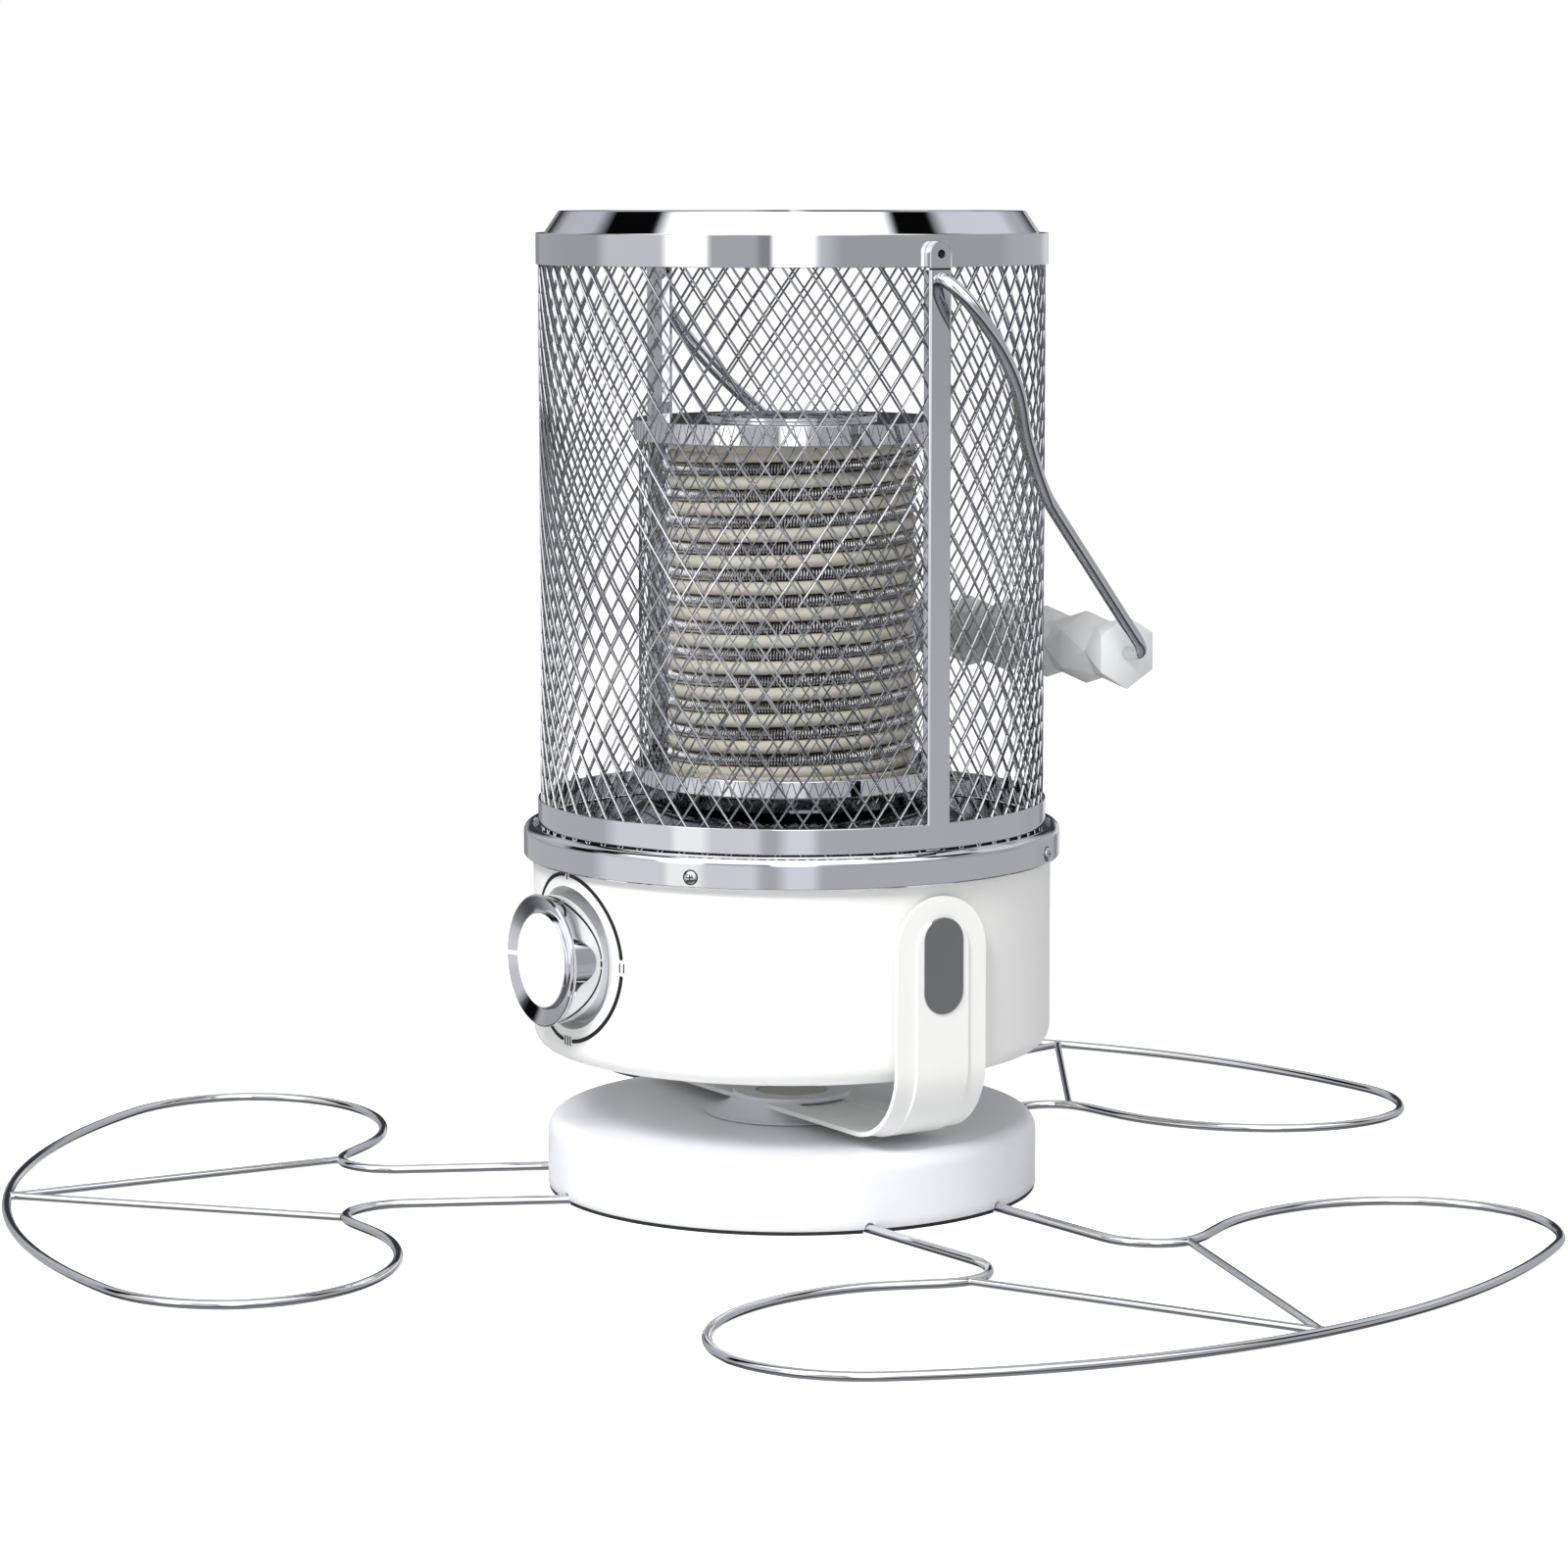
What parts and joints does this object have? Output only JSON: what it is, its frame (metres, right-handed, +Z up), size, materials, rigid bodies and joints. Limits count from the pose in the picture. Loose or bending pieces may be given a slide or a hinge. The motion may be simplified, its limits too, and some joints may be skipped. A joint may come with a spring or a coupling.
{
  "type": "patio heater",
  "caption": "Table-size electric patio heater: wound ceramic core in a round mesh guard on a tilting switch housing, with yoke, weighted base, wire feet and carrying bail.",
  "frame": {"origin": "point on the floor under the heater's vertical axis, on the base's centre pad", "axes": "+Z up along the heater's axis, the dial faces -Y, the yoke arms and bail pivots are on +X and -X"},
  "size_m": [0.5958, 0.6191, 0.3846],
  "materials": {
    "white_enamel": "smooth warm white stove enamel",
    "base_enamel": "smooth cool white enamel",
    "dial_plastic": "moulded white plastic",
    "knob_white": "moulded white plastic",
    "print_black": "screen print",
    "chrome": "polished",
    "foot_wire": "plated wire",
    "reflector_aluminium": "bright rolled sheet",
    "ceramic": "unglazed steatite ceramic",
    "nichrome": "resistance wire",
    "zinc_steel": "zinc plated",
    "cover_grey": "moulded dark grey plastic",
    "cap_beige": "moulded grey plastic",
    "grip_plastic": "moulded milky plastic",
    "black_rubber": "moulded rubber",
    "ballast_iron": "as cast",
    "slip_nylon": "nylon",
    "switch_black": "moulded"
  },
  "bodies": {
    "base": {"base_shell": "base_enamel", "bottom_plate": "zinc_steel", "rubber_ring": "black_rubber", "centre_pad": "black_rubber", "ballast": "ballast_iron", "base_screws": "zinc_steel", "foot_clips": "slip_nylon", "tip_switch": "switch_black", "pivot_tube": "zinc_steel", "slip_washer": "slip_nylon", "keeper": "zinc_steel", "pivot_screw": "zinc_steel", "hub_cap": "cap_beige"},
    "foot_1": {"wire_foot_1": "foot_wire"},
    "foot_2": {"wire_foot_2": "foot_wire"},
    "foot_3": {"wire_foot_3": "foot_wire"},
    "plunger": {"tip_plunger": "switch_black"},
    "yoke": {"yoke": "white_enamel", "hub_skirt": "base_enamel", "hub_disc": "base_enamel", "pivot_covers": "cover_grey", "tilt_pins": "zinc_steel", "tilt_nuts": "zinc_steel", "tilt_washers": "slip_nylon"},
    "head": {"housing_shell": "white_enamel", "chrome_rim": "chrome", "rim_screws": "zinc_steel", "heat_shield": "reflector_aluminium", "terminal_block": "switch_black", "thermal_cutout": "switch_black", "cord_gland": "black_rubber", "dial_dish": "dial_plastic", "dial_marks": "print_black", "rotary_switch": "switch_black", "switch_nut": "zinc_steel", "lower_ring": "chrome", "upper_ring": "chrome", "lid": "chrome", "guard_mesh_front": "chrome", "guard_mesh_back": "chrome", "post_left": "chrome", "post_right": "chrome", "post_rivets": "zinc_steel", "reflector": "reflector_aluminium", "standoffs": "reflector_aluminium", "core_plate": "reflector_aluminium", "core_band": "chrome", "inner_mesh": "chrome", "ceramic_core": "ceramic", "heating_coil": "nichrome", "coil_clamps": "zinc_steel", "top_cap": "chrome", "tie_rod": "zinc_steel", "tie_nuts": "zinc_steel"},
    "knob": {"knob_body": "chrome", "knob_face": "knob_white", "knob_pointer": "knob_white", "switch_shaft": "zinc_steel"},
    "bail": {"bail": "chrome"},
    "grip": {"grip": "grip_plastic"}
  },
  "joints": [
    {"name": "foot_1_slide", "type": "slide", "parent": "base", "child": "foot_1", "axis": [0.9976, 0.0698, 0], "range_m": [0, 0.04]},
    {"name": "foot_2_slide", "type": "slide", "parent": "base", "child": "foot_2", "axis": [-0.5592, 0.829, 0], "range_m": [0, 0.04]},
    {"name": "foot_3_slide", "type": "slide", "parent": "base", "child": "foot_3", "axis": [-0.4384, -0.8988, 0], "range_m": [0, 0.04]},
    {"name": "plunger_press", "type": "slide", "parent": "base", "child": "plunger", "axis": [0, 0, -1], "range_m": [0, 0.003], "stiffness_N_per_m": 100, "springref_m": 0.003},
    {"name": "yoke_swivel", "type": "hinge", "parent": "base", "child": "yoke", "pos_m": [0, 0, 0.0348], "axis": [0, 0, 1], "range_deg": [-90, 90]},
    {"name": "head_tilt", "type": "hinge", "parent": "yoke", "child": "head", "pos_m": [0, 0, 0.1017], "axis": [1, 0, 0], "range_deg": [-15, 15]},
    {"name": "knob_turn", "type": "hinge", "parent": "head", "child": "knob", "pos_m": [0, -0.1, 0.099], "axis": [0, 1, 0], "range_deg": [0, 270]},
    {"name": "bail_swing", "type": "hinge", "parent": "head", "child": "bail", "pos_m": [0, 0, 0.3593], "axis": [1, 0, 0], "range_deg": [0, 285.2]},
    {"name": "grip_spin", "type": "hinge", "parent": "bail", "child": "grip", "pos_m": [0, 0.11365, 0.2108], "axis": [1, 0, 0], "continuous": true}
  ]
}
